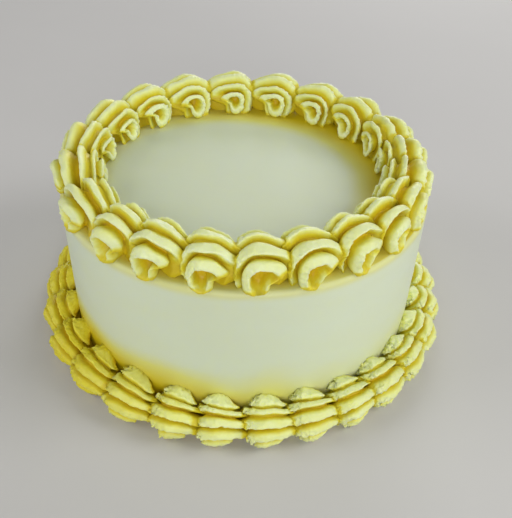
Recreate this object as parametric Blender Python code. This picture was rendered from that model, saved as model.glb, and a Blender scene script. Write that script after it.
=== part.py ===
"""A round layer cake, iced smooth, with a border of piped swirls on its top edge and another at its foot.

Metres, +Z up. The origin is the middle of the cake's flat underside.
"""

import math
import random

import bmesh
import bpy
from mathutils import Matrix, Vector

MM = 0.001

# Iced cake
CAKE_RADIUS = 100 * MM
CAKE_HEIGHT = 88 * MM
CAKE_SEGMENTS = 96
RIM_ROUNDING = 2.4 * MM
RIM_STEPS = 3
FOOT_ROUNDING = 0.8 * MM

# Gaps that keep touching pieces apart
SEAT_GAP = 0.3 * MM
WALL_GAP = 0.4 * MM
NEIGHBOUR_GAP = 0.9 * MM

# Each border was piped in runs of (swirls, degrees from one swirl to the next)
TOP_RUNS = ((9, 14.9), (9, 19.0), (1, 22.0), (1, 19.0), (1, 14.0))
BASE_RUNS = ((10, 12.2), (14, 13.0), (4, 14.0))

# How deep the star nozzle cut a full groove, as a share of a swirl's radius, and where its bottom lies
# on the way from one ridge to the next one outwards. Each ridge leans out over its groove.
GROOVE_DEPTH = 0.26
GROOVE_PLACE = 0.3

# A swirl's head reaches back along its border by a fixed length and a share of the way to the next
# swirl's middle. Its tail reaches on by a larger share, and grows thinner and lower as it goes on.
HEAD_LENGTH = 6 * MM
HEAD_REACH = 0.29
TAIL_REACH = 0.82
TAIL_TAPER = 0.28
TAIL_DROOP = 0.20

# How far hand piping strays from the rule, in shares of the size and in degrees
SIZE_STRAY = 0.025
TURN_STRAY = 2.5
PLACE_STRAY = 0.5

# The first angle and the tilt are in degrees. A border's ring stands a little off the cake's middle.
# The ridges are the ones a swirl shows from its inner end to its outer one, as angles round its middle.
# The grooves on the inner side have their first share of the full depth at the front of the cake and
# their second one at the back. The middle groove has its first share at the front and back, and its
# second one at the sides. The curls are how deep each end is hollowed, as shares of the half width. The
# inner ends at the foot aren't hollowed, but stand out to the cake's side. The wall is that side, for a
# border that leans on it.
TOP_BORDER = {
    "name": "top_swirl",
    "runs": TOP_RUNS,
    "start": 245.0,
    "off_middle": (-1.0 * MM, -0.8 * MM),
    "ring_radius": 87.7 * MM,
    "centre_height": CAKE_HEIGHT + 8.6 * MM,
    "half_width": 15.0 * MM,
    "rise": 14.8 * MM,
    "tilt": 4.0,
    "ridges": (21, 46, 82, 124, 157),
    "inner_depths": (0.5, 1.0),
    "middle_depths": (0.7, 1.1),
    "curls": (0.30, 0.35),
    "lowest": CAKE_HEIGHT + SEAT_GAP,
    "wall": 0.0,
    "longitudes": 16,
    "seed": 7,
}
BASE_BORDER = {
    "name": "base_swirl",
    "runs": BASE_RUNS,
    "start": 252.0,
    "off_middle": (0.0, -0.9 * MM),
    "ring_radius": 107.9 * MM,
    "centre_height": 9.6 * MM,
    "half_width": 13.2 * MM,
    "rise": 13.5 * MM,
    "tilt": 45.0,
    "ridges": (34, 60, 97, 134, 161),
    "inner_depths": (0.8, 0.8),
    "middle_depths": (0.8, 0.8),
    "curls": (-0.15, 0.05),
    "lowest": 0.0,
    "wall": CAKE_RADIUS + WALL_GAP,
    "longitudes": 11,
    "seed": 12,
}

COLOURS = {
    "icing": (0.90, 0.88, 0.74, 1.0),
    "piping": (0.91, 0.87, 0.56, 1.0),
}


def material(name, roughness):
    """A plain finish for one of the two kinds of buttercream."""
    made = bpy.data.materials.new(name)
    made.use_nodes = True
    shader = made.node_tree.nodes["Principled BSDF"]
    shader.inputs["Base Color"].default_value = COLOURS[name]
    shader.inputs["Roughness"].default_value = roughness
    shader.inputs["Metallic"].default_value = 0.0
    return made


def add_object(name, mesh, finish):
    """Shades the mesh smooth, gives it its finish and puts it in the scene."""
    mesh.materials.append(finish)
    mesh.shade_smooth()
    made = bpy.data.objects.new(name, mesh)
    bpy.context.scene.collection.objects.link(made)
    return made


def closed_mesh(name, rings, low_pole, high_pole):
    """A closed skin through equal rings of points, with a fan to a pole at each end."""
    builder = bmesh.new()
    low = builder.verts.new(low_pole)
    loops = [[builder.verts.new(point) for point in ring] for ring in rings]
    high = builder.verts.new(high_pole)
    count = len(loops[0])
    for i in range(count):
        j = (i + 1) % count
        builder.faces.new((low, loops[0][j], loops[0][i]))
        builder.faces.new((high, loops[-1][i], loops[-1][j]))
        for lower, upper in zip(loops, loops[1:]):
            builder.faces.new((lower[i], lower[j], upper[j], upper[i]))
    bmesh.ops.triangulate(builder, faces=[face for face in builder.faces if len(face.verts) == 4])
    bmesh.ops.recalc_face_normals(builder, faces=builder.faces)
    mesh = bpy.data.meshes.new(name)
    builder.to_mesh(mesh)
    builder.free()
    return mesh


def cake_profile():
    """Half outline of the iced cake, as (radius, height), from its underside to its top."""
    points = [(CAKE_RADIUS - FOOT_ROUNDING, 0.0), (CAKE_RADIUS, FOOT_ROUNDING)]
    for i in range(RIM_STEPS + 1):
        turn = math.radians(90) * i / RIM_STEPS
        inwards = RIM_ROUNDING * (1 - math.cos(turn))
        down = RIM_ROUNDING * (1 - math.sin(turn))
        points.append((CAKE_RADIUS - inwards, CAKE_HEIGHT - down))
    return points


def iced_cake(finish):
    """The cake under its smooth icing. It hasn't been cut, so it is one solid."""
    turns = [2 * math.pi * i / CAKE_SEGMENTS for i in range(CAKE_SEGMENTS)]
    rings = [
        [(radius * math.cos(turn), radius * math.sin(turn), height) for turn in turns]
        for radius, height in cake_profile()
    ]
    mesh = closed_mesh("iced_cake", rings, (0, 0, 0), (0, 0, CAKE_HEIGHT))
    return add_object("iced_cake", mesh, finish)


def piping_places(border):
    """The angle of each swirl round the border and the angle on to the next one, in degrees."""
    pitches = [pitch for count, pitch in border["runs"] for _ in range(count)]
    scale = 360 / sum(pitches)
    angle = border["start"]
    places = []
    for pitch in pitches:
        places.append((angle, pitch * scale))
        angle += pitch * scale
    return places


def swirl_frame(border, angle, turn):
    """A swirl's own axes: x along the border to its tail, y across it and outwards, z up out of its seat."""
    middle = Matrix.Translation((*border["off_middle"], border["centre_height"]))
    round_it = Matrix.Rotation(math.radians(angle), 4, "Z")
    out = Matrix.Translation((border["ring_radius"], 0, 0))
    tilt = math.radians(border["tilt"])
    axes = Matrix(((0, math.cos(tilt), math.sin(tilt)), (1, 0, 0), (0, -math.sin(tilt), math.cos(tilt))))
    return middle @ round_it @ out @ axes.to_4x4() @ Matrix.Rotation(math.radians(turn), 4, "Z")


def swirls_of(border):
    """The place and sizes of each swirl of a border, with the small strays of hand piping."""
    draw = random.Random(border["seed"])
    made = []
    for angle, pitch in piping_places(border):
        size = 1 + draw.uniform(-SIZE_STRAY, SIZE_STRAY)
        angle += draw.uniform(-PLACE_STRAY, PLACE_STRAY)
        step = math.radians(pitch) * border["ring_radius"]
        swirl = {"half_width": border["half_width"] * size, "rise": border["rise"] * size}
        swirl.update(head=(HEAD_LENGTH + HEAD_REACH * step) * size, tail=TAIL_REACH * step)
        swirl["frame"] = swirl_frame(border, angle, draw.uniform(-TURN_STRAY, TURN_STRAY))
        made.append(swirl)
    return made


def groove_depth(border, place, low, high):
    """How deep the groove between two ridges of a swirl is, as a share of its radius."""
    if low > 90:
        return GROOVE_DEPTH
    if high < 90:
        first, second = border["inner_depths"]
        share = 0.5 + 0.5 * place.y / border["ring_radius"]
    else:
        first, second = border["middle_depths"]
        share = abs(place.x) / border["ring_radius"]
    return GROOVE_DEPTH * (first + (second - first) * share)


def ridge_line(border, place):
    """From the inner end to the outer one: angles, and how far out the skin stands there, 1 on a ridge."""
    ridges = border["ridges"]
    line = [(ridges[0], 1.0)]
    for low, high in zip(ridges, ridges[1:]):
        line.append((low + (high - low) * GROOVE_PLACE, 1 - groove_depth(border, place, low, high)))
        line.append((high, 1.0))
    return line


def swirl_point(swirl, across, stands, turn):
    """A point of a swirl's skin: across goes from its inner end to its outer one, turn goes round it."""
    reach = stands * math.sin(math.radians(across))
    length = swirl["tail"] if math.cos(turn) > 0 else swirl["head"]
    x = length * math.cos(turn) * reach
    tail_share = max(x, 0) / swirl["tail"]
    y = -stands * math.cos(math.radians(across)) * swirl["half_width"] * (1 - TAIL_TAPER * tail_share)
    z = math.sin(turn) * swirl["rise"] * reach * (1 - TAIL_DROOP * tail_share)
    return swirl["frame"] @ Vector((x, y, z))


def off_the_cake(border, point):
    """Moves a point out of the cake's side, if the border leans on it, and up to its seat."""
    radius = math.hypot(point.x, point.y)
    if radius < border["wall"]:
        point.x *= border["wall"] / radius
        point.y *= border["wall"] / radius
    point.z = max(point.z, border["lowest"])
    return point


def off_the_next(point, following):
    """Draws a tail's point back along the border, out of the head of the swirl that follows."""
    local = following["frame"].inverted() @ point
    half_width, rise, head = (following[key] + NEIGHBOUR_GAP for key in ("half_width", "rise", "head"))
    room = max(1 - (local.y / half_width) ** 2 - (local.z / rise) ** 2, 0)
    local.x = min(local.x, -head * math.sqrt(room))
    return following["frame"] @ local


def piped_border(border, finish):
    """One closed solid for each swirl. Its tail ends just short of the next swirl's head."""
    swirls = swirls_of(border)
    turns = [2 * math.pi * i / border["longitudes"] for i in range(border["longitudes"])]
    for number, swirl in enumerate(swirls):
        following = swirls[(number + 1) % len(swirls)]

        def skin(across, stands, turn):
            point = off_the_cake(border, swirl_point(swirl, across, stands, turn))
            return off_the_cake(border, off_the_next(point, following))

        line = ridge_line(border, swirl["frame"].translation)
        rings = [[skin(across, stands, turn) for turn in turns] for across, stands in line]
        inner_end, outer_end = (skin(across, 1 - curl, 0) for across, curl in zip((0, 180), border["curls"]))
        name = f"{border['name']}_{number + 1:02d}"
        add_object(name, closed_mesh(name, rings, inner_end, outer_end), finish)


def build():
    """The iced cake, the swirls on its rim and the swirls at its foot."""
    for old in list(bpy.data.objects):
        bpy.data.objects.remove(old)
    icing = material("icing", 0.55)
    piping = material("piping", 0.5)
    iced_cake(icing)
    piped_border(TOP_BORDER, piping)
    piped_border(BASE_BORDER, piping)


build()
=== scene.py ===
"""The looks of a round layer cake: smooth buttercream icing and two borders of piped swirls.

Every swirl of the frame gets a fine mesh of its own in the same place, worked out by the same rule. Its
ridges lean over the grooves as flaps. The ends of the swirls on top curl in round a hole, and the inner ends
at the foot fill the way to the cake's side.
"""

import math
import random

import bpy
import numpy as np
from mathutils import Euler, Matrix, Vector


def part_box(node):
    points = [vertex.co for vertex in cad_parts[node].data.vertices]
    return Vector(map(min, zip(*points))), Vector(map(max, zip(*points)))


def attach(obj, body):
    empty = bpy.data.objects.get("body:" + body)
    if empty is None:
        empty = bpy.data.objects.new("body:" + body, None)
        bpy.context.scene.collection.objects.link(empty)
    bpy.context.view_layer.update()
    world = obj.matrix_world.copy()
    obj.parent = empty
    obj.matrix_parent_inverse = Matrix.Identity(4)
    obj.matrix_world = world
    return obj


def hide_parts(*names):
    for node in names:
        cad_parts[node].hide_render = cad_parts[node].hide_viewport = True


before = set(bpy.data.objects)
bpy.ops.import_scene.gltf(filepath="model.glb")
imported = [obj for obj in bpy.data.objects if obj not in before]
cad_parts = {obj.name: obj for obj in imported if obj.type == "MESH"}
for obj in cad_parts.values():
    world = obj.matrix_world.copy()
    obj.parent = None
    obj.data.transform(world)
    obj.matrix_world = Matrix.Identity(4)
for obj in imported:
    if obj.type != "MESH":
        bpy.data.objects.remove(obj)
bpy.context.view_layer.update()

MM = 0.001

# The iced cake, as its solid gives it
CAKE_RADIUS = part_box("iced_cake")[1][0]
CAKE_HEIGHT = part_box("iced_cake")[1][2]
CAKE_COLUMNS = 256
RIM_ROUNDING = 2.4 * MM

# Each border was piped in runs of (swirls, degrees from one swirl to the next)
TOP_RUNS = ((9, 14.9), (9, 19.0), (1, 22.0), (1, 19.0), (1, 14.0))
BASE_RUNS = ((10, 12.2), (14, 13.0), (4, 14.0))

# How far hand piping strays from the rule, in shares of the size and in degrees
SIZE_STRAY = 0.025
TURN_STRAY = 2.5
PLACE_STRAY = 0.5
RIDGE_STRAY = 2.5

# A swirl's head reaches back along its border by a fixed length and a share of the way to the next
# swirl's middle. Its tail reaches on by a larger share, and grows thinner and lower as it goes on.
HEAD_LENGTH = 6 * MM
HEAD_REACH = 0.29
TAIL_REACH = 0.82
TAIL_TAPER = 0.28
TAIL_DROOP = 0.20

# How far a ridge hangs over its groove, from least to most, as shares of the way to the next ridge
OVERHANG = (0.04, 0.14)

# How far the piped cream sinks into the icing
SINK = 1.2 * MM

# How wavy the cream is, as (height, length) of its waves, and how long the tears in the edges of its
# ridges and in its inner ends are
WAVES = ((0.38 * MM, 13 * MM), (0.06 * MM, 3.5 * MM))
EDGE_TEARS = 2.6 * MM
END_TEARS = 4.5 * MM

# How much shade is painted in the hollow under a tail and where swirls meet, as shares of the painted shade
# at the bottom of a groove, and how far from the icing shade is painted along the seat
HOLLOW_SHADE = 0.8
SEAM_SHADE = 0.6
SEAT_REACH = 3 * MM

# Where yellow light reflected from a gold board under the cake is painted strongest on the cake's foot, in
# degrees: the angle round the cake, how far to either side of it the painted light holds, and how far away it
# has faded
REFLECTED_LIGHT_ON_PIPING = (198, 22, 65)
REFLECTED_LIGHT_ON_ICING = (222, 25, 80)

# Angles are in degrees, with the ridges' own counted from a swirl's inner end to its outer one. The ring
# that the swirls stand on is a little off the cake's middle. Where nothing else is said, shares are of the
# swirl's own radius.
#
# The gaps are shares of the way between two ridges that are deep, and widen towards the cake's sides. The
# grooves on the inner side have their first depth at the front of the cake and their second one at the
# back. The middle groove has its first depth at the front and back, and its second one at the sides. A
# lower fullness makes a swirl plumper. The inner end is how much further that end reaches.
#
# The hole edges say how wide the holes in the inner and the outer end are, and the hole share how deep. The
# ridges differ in length at the head by the uneven ends. Ragged is how far the ridges' edges are torn, and
# the torn end how far the inner end is. The seat entry says how much shade is painted along the cream's
# seat, and the left entry how much yellow light, reflected from a gold board under the cake, is painted on
# it on the left.
TOP_BORDER = {
    "name": "top_swirl",
    "runs": TOP_RUNS,
    "start": 245.0,
    "off_middle": (-1.0 * MM, -0.8 * MM),
    "ring_radius": 87.7 * MM,
    "centre_height": CAKE_HEIGHT + 8.6 * MM,
    "half_width": 14.6 * MM,
    "rise": 14.2 * MM,
    "tilt": 4.0,
    "lowest": CAKE_HEIGHT,
    "wall": 0.0,
    "ridges": (21, 46, 82, 124, 159),
    "groove_share": 0.42,
    "gaps": (0.25, 0.25, 0.20, 0.14),
    "wider_gaps": 0.18,
    "inner_depths": (0.5, 1.0),
    "middle_depths": (0.7, 1.1),
    "fullness": 0.85,
    "inner_end": 0.0,
    "hole_edges": (0.28, 0.42),
    "hole_share": 0.55,
    "uneven_ends": 0.06,
    "ragged": 0.45 * MM,
    "torn_end": 0.0,
    "seat_shade": 0.7,
    "left_reflected_light": 0.0,
    "columns": 112,
    "rows": 100,
    "seed": 7,
}
BASE_BORDER = {
    "name": "base_swirl",
    "runs": BASE_RUNS,
    "start": 252.0,
    "off_middle": (0.0, -0.9 * MM),
    "ring_radius": 107.9 * MM,
    "centre_height": 9.6 * MM,
    "half_width": 12.0 * MM,
    "rise": 12.6 * MM,
    "tilt": 45.0,
    "lowest": 0.0,
    "wall": CAKE_RADIUS,
    "ridges": (34, 60, 97, 134, 172),
    "groove_share": 0.34,
    "gaps": (0.20, 0.20, 0.20, 0.20),
    "wider_gaps": 0.0,
    "inner_depths": (0.65, 0.65),
    "middle_depths": (0.9, 0.9),
    "fullness": 0.85,
    "inner_end": 0.26,
    "hole_edges": (0.1, 0.27),
    "hole_share": 0.1,
    "uneven_ends": 0.14,
    "ragged": 0.9 * MM,
    "torn_end": 0.25 * MM,
    "seat_shade": 0.2,
    "left_reflected_light": 0.5,
    "columns": 88,
    "rows": 80,
    "seed": 12,
}

# Colours of the cream by a number from 0 on a ridge to 1 at the bottom of a groove. At 0 it is the cream's
# own colour; the darker, yellower colours towards 1 are painted shade in the grooves. On the smooth icing the
# same number gives painted shade and painted yellow reflected light.
PIPING_COLOURS = (
    (0, (0.78, 0.86, 0.52)),
    (0.25, (0.77, 0.80, 0.25)),
    (0.55, (0.72, 0.64, 0.030)),
    (1, (0.64, 0.46, 0.001)),
)
ICING_COLOURS = (
    (0, (0.67, 0.74, 0.56)),
    (0.12, (0.67, 0.73, 0.52)),
    (0.5, (0.70, 0.69, 0.20)),
    (1, (0.68, 0.54, 0.004)),
)
FLOOR_COLOURS = ((0, (0.58, 0.57, 0.555)), (1, (0.62, 0.61, 0.595)))

# Camera, fitted to the photo: where it stands, and how far it is turned, tipped down and rolled
CAMERA_PLACE = (0.0, -0.3197, 0.2810)
CAMERA_TURN = 1.375
CAMERA_TIP = 38.27
CAMERA_ROLL = 2.149
CAMERA_LENS = 46.45

# Soft lights as (name, angle round the cake, height over the floor in degrees, power)
LIGHTS = (("right", -8, 34, 14.0), ("front", -88, 22, 14.5), ("back", 75, 18, 12.0), ("left", 186, 32, 8.0))
LIGHT_DISTANCE = 1.8
LIGHT_AIM = (0, 0, 0.05)
ROOM_COLOUR = (1.0, 0.99, 0.98, 1)
ROOM_BRIGHTNESS = 0.21
FLOOR_SIDE = 24.0


def smooth_step(low, high, value):
    """0 at low and 1 at high, with a soft rise between them."""
    share = np.clip((value - low) / (high - low), 0, 1)
    return share * share * (3 - 2 * share)


def wavy(points, wavelength, seed):
    """Smooth noise between about -1 and 1 at an array of points, apart for each of three directions."""
    draw = np.random.default_rng(seed)
    waves = 12
    made = []
    for _ in range(3):
        directions = draw.normal(size=(waves, 3))
        directions /= np.linalg.norm(directions, axis=1)[:, None]
        rates = 2 * math.pi / wavelength * draw.uniform(0.6, 1.6, waves)
        phases = draw.uniform(0, 2 * math.pi, waves)
        made.append(np.sin(points @ (directions * rates[:, None]).T + phases).sum(-1) / 4)
    return np.stack(made, -1)


def near_angle(points, middle, near, far):
    """1 where points are near an angle round the cake, 0.1 where they are far from it, in degrees."""
    angle = np.degrees(np.arctan2(points[:, 1], points[:, 0]))
    return np.interp(np.abs((angle - middle + 180) % 360 - 180), (near, far), (1, 0.1))


def piping_places(border):
    """The angle of each swirl round the border and the angle on to the next one, in degrees."""
    pitches = [pitch for count, pitch in border["runs"] for _ in range(count)]
    scale = 360 / sum(pitches)
    angle = border["start"]
    places = []
    for pitch in pitches:
        places.append((angle, pitch * scale))
        angle += pitch * scale
    return places


def swirl_frame(border, angle, turn):
    """A swirl's own axes: x along the border to its tail, y across it and outwards, z up out of its seat."""
    middle = Matrix.Translation((*border["off_middle"], border["centre_height"]))
    round_it = Matrix.Rotation(math.radians(angle), 4, "Z")
    out = Matrix.Translation((border["ring_radius"], 0, 0))
    tilt = math.radians(border["tilt"])
    axes = Matrix(((0, math.cos(tilt), math.sin(tilt)), (1, 0, 0), (0, -math.sin(tilt), math.cos(tilt))))
    return middle @ round_it @ out @ axes.to_4x4() @ Matrix.Rotation(math.radians(turn), 4, "Z")


def swirls_of(border):
    """The place and sizes of each swirl of a border, with the small strays of hand piping."""
    draw = random.Random(border["seed"])
    made = []
    for angle, pitch in piping_places(border):
        size = 1 + draw.uniform(-SIZE_STRAY, SIZE_STRAY)
        angle += draw.uniform(-PLACE_STRAY, PLACE_STRAY)
        step = math.radians(pitch) * border["ring_radius"]
        swirl = {"half_width": border["half_width"] * size, "rise": border["rise"] * size}
        swirl.update(head=(HEAD_LENGTH + HEAD_REACH * step) * size, tail=TAIL_REACH * step)
        swirl["frame"] = swirl_frame(border, angle, draw.uniform(-TURN_STRAY, TURN_STRAY))
        made.append(swirl)
    return made


def groove_line(overhang, gap):
    """From a ridge to the next one outwards: shares of the way, and how deep in the groove from 0 to 1.

    The first ridge hangs over the groove by the overhang. The groove stays deep for the share that is its
    gap, and its far side then swells to the second ridge.
    """
    under = np.linspace(0, 1, 24, endpoint=False)
    face = np.linspace(0, 1, 40, endpoint=False)
    way = np.concatenate([-overhang * under, -overhang + (1 + overhang) * face])
    swelling = 0.8 * smooth_step(gap - 0.1, gap + 0.4, face) + 0.2 * face
    return way, np.concatenate([np.sin(np.pi / 2 * under), 1 - swelling])


def groove_depth(border, place, low, high):
    """How deep the groove between two ridges of a swirl at a place is, as a share of a full groove."""
    if low > 90:
        return 1
    if high < 90:
        first, second = border["inner_depths"]
        share = 0.5 + 0.5 * place.y / border["ring_radius"]
    else:
        first, second = border["middle_depths"]
        share = abs(place.x) / border["ring_radius"]
    return first + (second - first) * share


def ridge_line(border, draw, place):
    """From the inner end to the outer one: angles, and how deep in a groove from 0 to 1."""
    ridges = [angle + draw.uniform(-RIDGE_STRAY, RIDGE_STRAY) for angle in border["ridges"]]
    angles = [np.linspace(0, ridges[0], 50, endpoint=False)]
    depths = [np.zeros(50)]
    wider = border["wider_gaps"] * abs(place.x) / border["ring_radius"]
    for low, high, gap in zip(ridges, ridges[1:], border["gaps"]):
        way, depth = groove_line(draw.uniform(*OVERHANG), gap + wider)
        angles.append(low + (high - low) * way)
        depths.append(depth * draw.uniform(0.9, 1.1) * groove_depth(border, place, low, high))
    angles.append(np.linspace(ridges[-1], 180, 51))
    depths.append(np.zeros(51))
    blur = np.hanning(7) / np.hanning(7).sum()
    return [np.convolve(np.pad(np.concatenate(part), 3, "edge"), blur, "valid") for part in (angles, depths)]


def even_rows(border, angle, depth):
    """The same line with evenly spaced points, as many as the border has rows."""
    stands = 1 - border["groove_share"] * depth
    line = np.stack([stands * np.sin(np.radians(angle)), stands * np.cos(np.radians(angle))], -1)
    way = np.concatenate([[0], np.cumsum(np.linalg.norm(np.diff(line, axis=0), axis=1))])
    even = np.linspace(0, way[-1], border["rows"] + 2)[1:-1]
    return np.interp(even, way, angle), np.interp(even, way, depth)


def swirl_skin(border, swirl, draw):
    """A swirl's skin in its own axes, in rows from its inner end to its outer one and columns round it.

    It gives the places of the points, and the angle, groove depth, turn and share of a hole that they have.
    """
    line = even_rows(border, *ridge_line(border, draw, swirl["frame"].translation))
    angle, depth = (part[:, None] for part in line)
    sides = np.linspace(-math.pi, math.pi, border["columns"], endpoint=False)[None, :]
    turn = sides + 0.3 * np.cos(sides)
    off = np.minimum(angle, 180 - angle)
    stands = 1 - border["groove_share"] * depth
    reach = stands * np.sin(np.radians(off)) ** border["fullness"]

    # Near an end the tail's underside is cut back, so that the ring round the hole is nearly closed. The
    # ridges are cut back less than the grooves, and end in points.
    opening = draw.uniform(28, 44) - 30 * (1 - np.clip(depth, 0, 1))
    closing = smooth_step(opening, opening - 22, np.degrees(turn)) * smooth_step(70, 45, off)
    to_tail = swirl["tail"] + (swirl["head"] * 0.7 - swirl["tail"]) * closing
    stray = border["uneven_ends"]
    ends = [draw.uniform(0.98 - stray, 0.98 + stray) for _ in border["ridges"]]
    to_head = swirl["head"] * np.interp(angle, border["ridges"], ends)
    x = np.where(np.cos(turn) > 0, to_tail, to_head) * np.cos(turn) * reach
    tail_share = np.clip(x, 0, None) / swirl["tail"]

    inner, outer = border["hole_edges"]
    hole_edge = np.where(angle < 90, inner, outer) * draw.uniform(0.85, 1.15)
    hole = smooth_step(hole_edge, hole_edge * 0.45, reach) * np.ones_like(turn)
    width = stands * np.cos(np.radians(off)) - border["hole_share"] * hole
    width *= 1 + border["inner_end"] * smooth_step(border["ridges"][0] + 6, 0, angle)
    y = np.sign(angle - 90) * width * swirl["half_width"] * (1 - TAIL_TAPER * tail_share)
    foot = 1 + 0.5 * smooth_step(0, -0.5, np.sin(turn)) * smooth_step(70, 45, off)
    z = np.sin(turn) * swirl["rise"] * reach * (1 - TAIL_DROOP * tail_share) * foot
    return {"places": np.stack([x, y, z], -1), "angle": angle, "depth": depth, "turn": turn, "hole": hole}


def with_poles(inner, grid, outer):
    """The values of a grid row by row, between those of the poles at the inner and the outer end."""
    return np.concatenate([[inner], grid.reshape(-1, *np.shape(inner)), [outer]])


def seam(points, neighbour):
    """How close points are to a neighbour's skin: 1 at or in it, and 0 from a fifth of its size away."""
    matrix = np.array(neighbour["frame"].inverted())
    x, y, z = (points @ matrix[:3, :3].T + matrix[:3, 3]).T
    tail_share = np.clip(x, 0, None) / neighbour["tail"]
    x = x / np.where(x > 0, neighbour["tail"], neighbour["head"])
    y = y / neighbour["half_width"] / (1 - TAIL_TAPER * tail_share).clip(0.5)
    z = z / neighbour["rise"] / (1 - TAIL_DROOP * tail_share).clip(0.5)
    return smooth_step(1.2, 1.0, np.sqrt(x * x + y * y + z * z))


def swirl_painted_shade(border, swirl, neighbours, skin, points):
    """Painted shade on the cream at each point, from 0 on a ridge to 1 at the bottom of a groove.

    Shade is also painted in the holes, in the hollow under a tail, where swirls meet and along its seat, and
    yellow light reflected from a gold board under the cake is painted on the left of the foot.
    """
    # Painted shade: the grooves, the holes, the hollow under a tail, the seams and the seat are coloured
    # darker and yellower
    under_tail = smooth_step(0.2, 0.6, skin["places"][:, :, 0] / swirl["head"])
    hollow = HOLLOW_SHADE * smooth_step(30, 0, np.degrees(skin["turn"])) * under_tail
    deep = with_poles(1, np.maximum(np.maximum(skin["depth"], skin["hole"]), hollow), 1)
    for neighbour in neighbours:
        deep = np.maximum(deep, SEAM_SHADE * seam(points, neighbour))
    seat = points[:, 2] - border["lowest"]
    if border["wall"]:
        seat = np.hypot(points[:, 0], points[:, 1]) - border["wall"]
    deep = np.maximum(deep, border["seat_shade"] * smooth_step(SEAT_REACH, 0, seat))
    # Painted yellow light reflected from a gold board under the cake, on the left of the foot
    deep += border["left_reflected_light"] * near_angle(points, *REFLECTED_LIGHT_ON_PIPING) * (1 - deep)
    return np.clip(deep, 0, 1)


def torn(border, skin, points, seed):
    """The points with the cream's waves, and with its ridges' edges and its inner end torn."""
    points = points + sum(size * wavy(points, length, seed + i) for i, (size, length) in enumerate(WAVES))

    # The ridges' edges are torn most where a head begins
    head_share = smooth_step(0.1, 0.9, -np.cos(skin["turn"]))
    edge = (1 - smooth_step(0, 0.3, skin["depth"])) * (0.3 + 0.7 * head_share)
    edge = with_poles(0, edge * (1 - skin["hole"]), 0)[:, None]
    points = points + border["ragged"] * edge * wavy(points, EDGE_TEARS, seed + 2)
    inner = smooth_step(border["ridges"][0] + 8, border["ridges"][0] - 8, skin["angle"])
    inner = with_poles(0, inner * np.ones_like(skin["turn"]), 0)[:, None]
    return points + border["torn_end"] * inner * wavy(points, END_TEARS, seed + 3)


def seated(border, points):
    """The points with the cream sunk a little into the icing, and a little way down over the rounded rim."""
    radius = np.hypot(points[:, 0], points[:, 1])
    wall = border["wall"] - SINK
    points[:, :2] *= np.where(radius < wall, wall / radius, 1)[:, None]
    past = np.clip(radius - CAKE_RADIUS + RIM_ROUNDING, 0, 0.8 * RIM_ROUNDING)
    down = RIM_ROUNDING - np.sqrt(RIM_ROUNDING ** 2 - past ** 2)
    down += SINK * smooth_step(CAKE_RADIUS, CAKE_RADIUS - 3 * MM, radius)
    points[:, 2] = np.maximum(points[:, 2], np.maximum(border["lowest"] - down, 0))
    return points


def swirl_mesh(border, swirl, neighbours, number):
    """The fine mesh of one swirl."""
    seed = border["seed"] * 1000 + number * 10
    skin = swirl_skin(border, swirl, random.Random(seed))
    pole = (1 - border["hole_share"]) * swirl["half_width"]
    inner_pole = pole * (1 + border["inner_end"])
    local = with_poles([0, -inner_pole, 0], skin["places"], [0, pole, 0])
    matrix = np.array(swirl["frame"])
    points = local @ matrix[:3, :3].T + matrix[:3, 3]
    painted_light = swirl_painted_shade(border, swirl, neighbours, skin, points)
    points = seated(border, torn(border, skin, points, seed))
    return grid_mesh(f"{border['name']}_{number:02d}_cream", points, border["columns"], painted_light)


def iced_cake_painted_light(points):
    """Painted light, 0 to 1: reflected light most at the icing's foot on the left, shade near the borders."""
    x, y, z = points.T
    height = z / CAKE_HEIGHT + 0.03 * wavy(points, 40 * MM, 3)[:, 0]
    # Painted yellow light, reflected from a gold board under the cake, most on the left of the foot
    foot = smooth_step(0.48, 0.16, height) * (0.10 + 0.90 * near_angle(points, *REFLECTED_LIGHT_ON_ICING))
    # Painted shade in a strip just under the top border's swirls
    under_rim = 0.3 * smooth_step(0.93, 0.98, z / CAKE_HEIGHT)

    # On top, painted shadow of the right-hand border makes it yellower towards the right, and painted shade
    # makes it yellowest under the border, less so out on the rim
    right = smooth_step(-0.5, 0.8, (x + 0.6 * y) / CAKE_RADIUS)
    off_x, off_y = TOP_BORDER["off_middle"]
    inside = np.hypot(x - off_x, y - off_y) / CAKE_RADIUS
    top = smooth_step(0.66 - 0.14 * right, 0.78, inside) * (0.25 + 0.70 * right)
    under_border = 0.9 * smooth_step(0.79, 0.85, inside) - 0.55 * smooth_step(0.92, 0.97, inside)
    return np.where(z > CAKE_HEIGHT - 0.1 * MM, np.maximum(top, under_border), np.maximum(foot, under_rim))


def iced_cake_mesh():
    """The iced cake with its rounded rim."""
    profile = [(share * CAKE_RADIUS, 0.0) for share in (0.4, 0.8, 0.992)]
    profile += [(CAKE_RADIUS, share * CAKE_HEIGHT) for share in np.linspace(0.01, 0.95, 48)]
    for step in range(9):
        bend = math.radians(90) * step / 8
        inwards = RIM_ROUNDING * (1 - math.cos(bend))
        profile.append((CAKE_RADIUS - inwards, CAKE_HEIGHT - RIM_ROUNDING * (1 - math.sin(bend))))
    profile += [(share * CAKE_RADIUS, CAKE_HEIGHT) for share in np.linspace(0.95, 0.05, 24)]
    turn = np.linspace(0, 2 * np.pi, CAKE_COLUMNS, endpoint=False)
    rings = [np.stack([r * np.cos(turn), r * np.sin(turn), np.full(CAKE_COLUMNS, h)], -1) for r, h in profile]
    points = np.concatenate([[[0, 0, 0]], *rings, [[0, 0, CAKE_HEIGHT]]])
    return grid_mesh("iced_cake_cream", points, CAKE_COLUMNS, iced_cake_painted_light(points))


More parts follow.
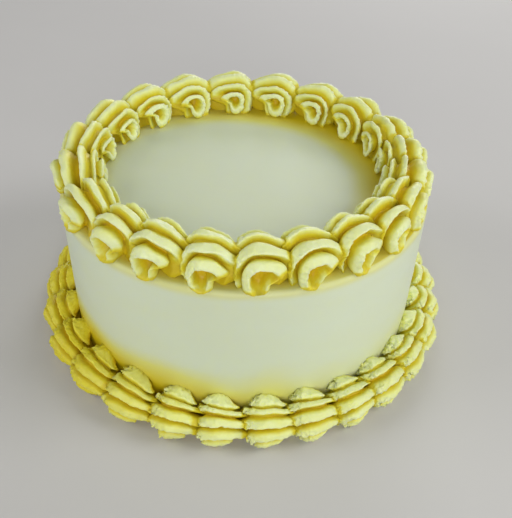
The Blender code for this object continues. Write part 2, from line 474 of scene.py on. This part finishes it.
def grid_mesh(name, points, columns, painted_light):
    """A closed mesh from a pole, rings of points and a second pole, with painted light as a point attribute.
    """
    last = len(points) - 1
    i = np.arange(columns)
    j = (i + 1) % columns
    rows = (last - 1) // columns
    faces = np.stack([np.zeros_like(i), 1 + j, 1 + i], -1).tolist()
    for start in range(1, 1 + (rows - 1) * columns, columns):
        faces += np.stack([start + i, start + j, start + columns + j, start + columns + i], -1).tolist()
    start = 1 + (rows - 1) * columns
    faces += np.stack([np.full_like(i, last), start + i, start + j], -1).tolist()
    mesh = bpy.data.meshes.new(name)
    mesh.from_pydata(points.tolist(), [], faces)
    mesh.update()
    mesh.shade_smooth()
    # The groove attribute carries the painted shade and painted reflected light
    mesh.attributes.new("groove", "FLOAT", "POINT").data.foreach_set("value", painted_light)
    return mesh


def add_piece(name, mesh, material, node):
    """Puts a piece in the scene in place of its CAD node."""
    piece = bpy.data.objects.new(name, mesh)
    mesh.materials.append(material)
    bpy.context.scene.collection.objects.link(piece)
    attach(piece, "root")
    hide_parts(node)


def node_material(name):
    """A new material and its node tree."""
    made = bpy.data.materials.new(name)
    made.use_nodes = True
    return made, made.node_tree


def noise(tree, place, scale, detail):
    """Soft patches at a place, from 0 to 1."""
    patches = tree.nodes.new("ShaderNodeTexNoise")
    patches.inputs["Scale"].default_value = scale
    patches.inputs["Detail"].default_value = detail
    tree.links.new(place, patches.inputs["Vector"])
    return patches.outputs["Fac"]


def colour_by(tree, value, colours):
    """Colours a material by a value, along a line of (value, colour)."""
    ramp = tree.nodes.new("ShaderNodeValToRGB")
    ramp.color_ramp.elements[0].color = (*colours[0][1], 1)
    ramp.color_ramp.elements[1].color = (*colours[-1][1], 1)
    for at, colour in colours[1:-1]:
        ramp.color_ramp.elements.new(at).color = (*colour, 1)
    tree.links.new(value, ramp.inputs["Fac"])
    tree.links.new(ramp.outputs["Color"], tree.nodes["Principled BSDF"].inputs["Base Color"])


def roughen_by(tree, value, low, high):
    """Makes a material's roughness go from low to high with a value."""
    sheen = tree.nodes.new("ShaderNodeMapRange")
    sheen.inputs["To Min"].default_value = low
    sheen.inputs["To Max"].default_value = high
    tree.links.new(value, sheen.inputs["Value"])
    tree.links.new(sheen.outputs["Result"], tree.nodes["Principled BSDF"].inputs["Roughness"])


def bump_by(tree, value, strength, distance):
    """Makes a material's surface rise and fall with a value."""
    bump = tree.nodes.new("ShaderNodeBump")
    bump.inputs["Strength"].default_value = strength
    bump.inputs["Distance"].default_value = distance
    tree.links.new(value, bump.inputs["Height"])
    tree.links.new(bump.outputs["Normal"], tree.nodes["Principled BSDF"].inputs["Normal"])


def cream_material(name, colours, patch_size, bump_depth, stretch=(1, 1, 1)):
    """Buttercream coloured by its painted shade and light, with soft patches, sheen and fine bumps."""
    made, tree = node_material(name)
    shader = tree.nodes["Principled BSDF"]
    shader.inputs["Subsurface Weight"].default_value = 0.5
    shader.inputs["Subsurface Radius"].default_value = (1.0, 0.95, 0.35)
    shader.inputs["Subsurface Scale"].default_value = 3 * MM

    # The patches and bumps can be stretched
    place = tree.nodes.new("ShaderNodeTexCoord")
    squeeze = tree.nodes.new("ShaderNodeMapping")
    squeeze.inputs["Scale"].default_value = stretch
    tree.links.new(place.outputs["Object"], squeeze.inputs["Vector"])
    patches = noise(tree, squeeze.outputs["Vector"], 1 / patch_size, 4)
    grain = noise(tree, squeeze.outputs["Vector"], 6 / patch_size, 5)

    # The groove attribute gives the painted shade and light, and patches make the cream a little deeper or
    # paler in colour
    groove = tree.nodes.new("ShaderNodeAttribute")
    groove.attribute_name = "groove"
    uneven = tree.nodes.new("ShaderNodeMath")
    uneven.operation = "MULTIPLY_ADD"
    uneven.inputs[1].default_value = 0.26
    uneven.inputs[2].default_value = -0.08
    depth = tree.nodes.new("ShaderNodeMath")
    depth.operation = "ADD"
    tree.links.new(patches, uneven.inputs[0])
    tree.links.new(groove.outputs["Fac"], depth.inputs[0])
    tree.links.new(uneven.outputs["Value"], depth.inputs[1])
    colour_by(tree, depth.outputs["Value"], colours)
    roughen_by(tree, patches, 0.40, 0.60)
    bump_by(tree, grain, 0.6, bump_depth)
    return made


def floor_material():
    """Plain pale matt paper, very slightly uneven."""
    made, tree = node_material("floor")
    place = tree.nodes.new("ShaderNodeTexCoord")
    patches = noise(tree, place.outputs["Object"], 6, 6)
    colour_by(tree, patches, FLOOR_COLOURS)
    roughen_by(tree, patches, 0.85, 0.95)
    bump_by(tree, patches, 0.1, 0.1 * MM)
    return made


def pale_floor():
    """A plain pale floor."""
    side = FLOOR_SIDE / 2
    corners = [(-side, -side, 0), (side, -side, 0), (side, side, 0), (-side, side, 0)]
    mesh = bpy.data.meshes.new("floor")
    mesh.from_pydata(corners, [], [(0, 1, 2, 3)])
    mesh.materials.append(floor_material())
    floor = bpy.data.objects.new("floor", mesh)
    bpy.context.scene.collection.objects.link(floor)


def area_light(name, round_it, height, power):
    """A soft square light aimed at the cake, at an angle round it and a height over the floor in degrees."""
    data = bpy.data.lights.new(name, "AREA")
    data.shape = "SQUARE"
    data.size = LIGHT_DISTANCE / 2
    data.energy = power
    light = bpy.data.objects.new(name, data)
    aim = Vector((LIGHT_DISTANCE, 0, 0))
    aim.rotate(Euler((0, math.radians(-height), math.radians(round_it))))
    light.location = aim + Vector(LIGHT_AIM)
    light.rotation_euler = (-aim).to_track_quat("-Z", "Y").to_euler()
    bpy.context.scene.collection.objects.link(light)


def soft_light():
    """Plain soft light from all round the cake."""
    world = bpy.data.worlds.new("soft_room")
    bpy.context.scene.world = world
    world.use_nodes = True
    background = world.node_tree.nodes["Background"]
    background.inputs["Color"].default_value = ROOM_COLOUR
    background.inputs["Strength"].default_value = ROOM_BRIGHTNESS
    for light in LIGHTS:
        area_light(*light)


def camera():
    """The camera, at the photo's viewing angle."""
    data = bpy.data.cameras.new("camera")
    data.lens = CAMERA_LENS
    data.sensor_width = 36
    made = bpy.data.objects.new("camera", data)
    turn = Matrix.Rotation(math.radians(-CAMERA_TURN), 4, "Z")
    tip = Matrix.Rotation(math.radians(90 - CAMERA_TIP), 4, "X")
    roll = Matrix.Rotation(math.radians(CAMERA_ROLL), 4, "Z")
    made.matrix_world = Matrix.Translation(CAMERA_PLACE) @ turn @ tip @ roll
    bpy.context.scene.collection.objects.link(made)
    bpy.context.scene.camera = made


def build():
    """The piped swirls, the iced cake, and what it takes to see them."""
    piping = cream_material("piping_cream", PIPING_COLOURS, 9 * MM, 0.25 * MM)
    icing = cream_material("smooth_icing", ICING_COLOURS, 45 * MM, 0.12 * MM, (1, 1, 2.5))
    for border in (TOP_BORDER, BASE_BORDER):
        swirls = swirls_of(border)
        for number, swirl in enumerate(swirls, start=1):
            node = f"{border['name']}_{number:02d}"
            neighbours = (swirls[number - 2], swirls[number % len(swirls)])
            add_piece(node + "_cream", swirl_mesh(border, swirl, neighbours, number), piping, node)
    add_piece("iced_cake_cream", iced_cake_mesh(), icing, "iced_cake")
    soft_light()
    pale_floor()
    camera()
    bpy.context.scene.view_settings.view_transform = "Standard"


build()
